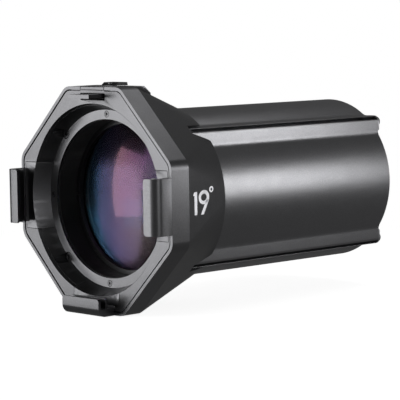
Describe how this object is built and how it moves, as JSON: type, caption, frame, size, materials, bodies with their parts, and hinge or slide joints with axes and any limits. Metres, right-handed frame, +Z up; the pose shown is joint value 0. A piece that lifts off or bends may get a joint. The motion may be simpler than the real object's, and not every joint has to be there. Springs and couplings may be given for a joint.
{
  "type": "ellipsoidal spotlight lens tube",
  "caption": "Lens tube of an ellipsoidal spotlight: an octagonal accessory hood with a sprung latch, bolted to a ribbed extruded barrel that holds the lenses.",
  "frame": {"origin": "on the optical axis, where the barrel leaves the hood", "axes": "+Y along the optical axis from the hood into the barrel, +Z up towards the latch, +X to the right seen from the front"},
  "size_m": [0.1724, 0.2874, 0.1752],
  "materials": {
    "hood_black": "satin black powder coat over cast metal",
    "front_plate": "satin black, smoother than the hood",
    "clip_metal": "satin charcoal anodised",
    "black_screw": "black oxide",
    "front_screw": "dark zinc",
    "latch_metal": "satin charcoal anodised",
    "tab_plastic": "black moulded",
    "spring_steel": "plain spring wire",
    "bracket_steel": "zinc",
    "barrel_anodised": "satin charcoal anodised with a fine drawn grain",
    "end_ring_metal": "plain satin sheet",
    "cell_black": "matt black anodised",
    "lock_ring_black": "satin black anodised",
    "seal_rubber": "matt",
    "coated_glass": "coated optical glass"
  },
  "bodies": {
    "housing": {"hood": "hood_black", "face_plate": "front_plate", "clip_left": "clip_metal", "clip_right": "clip_metal", "clip_bottom": "clip_metal", "clip_screws": "black_screw", "plate_screws": "black_screw", "hood_screws": "front_screw", "cell_screws": "front_screw", "latch_springs": "spring_steel", "latch_guide": "bracket_steel", "guide_screws": "black_screw", "latch_cover": "front_plate", "cover_screws": "front_screw", "barrel_tube": "barrel_anodised", "front_cell": "cell_black", "front_lens": "coated_glass", "front_seal": "seal_rubber", "front_lens_ring": "lock_ring_black", "middle_lens": "coated_glass", "middle_seal": "seal_rubber", "middle_lens_ring": "lock_ring_black", "spacer_sleeve": "cell_black", "rear_cell": "cell_black", "rear_lens": "coated_glass", "rear_seal": "seal_rubber", "rear_lens_ring": "lock_ring_black", "end_ring": "end_ring_metal", "end_screws": "black_screw"},
    "latch": {"latch_bolt": "latch_metal", "latch_tab": "tab_plastic", "tab_screw": "front_screw"}
  },
  "joints": [
    {"name": "latch_slide", "type": "slide", "parent": "housing", "child": "latch", "axis": [0, 1, 0], "range_m": [0, 0.0143], "stiffness_N_per_m": 200, "springref_m": -0.01, "deforming": ["latch_springs"]}
  ]
}
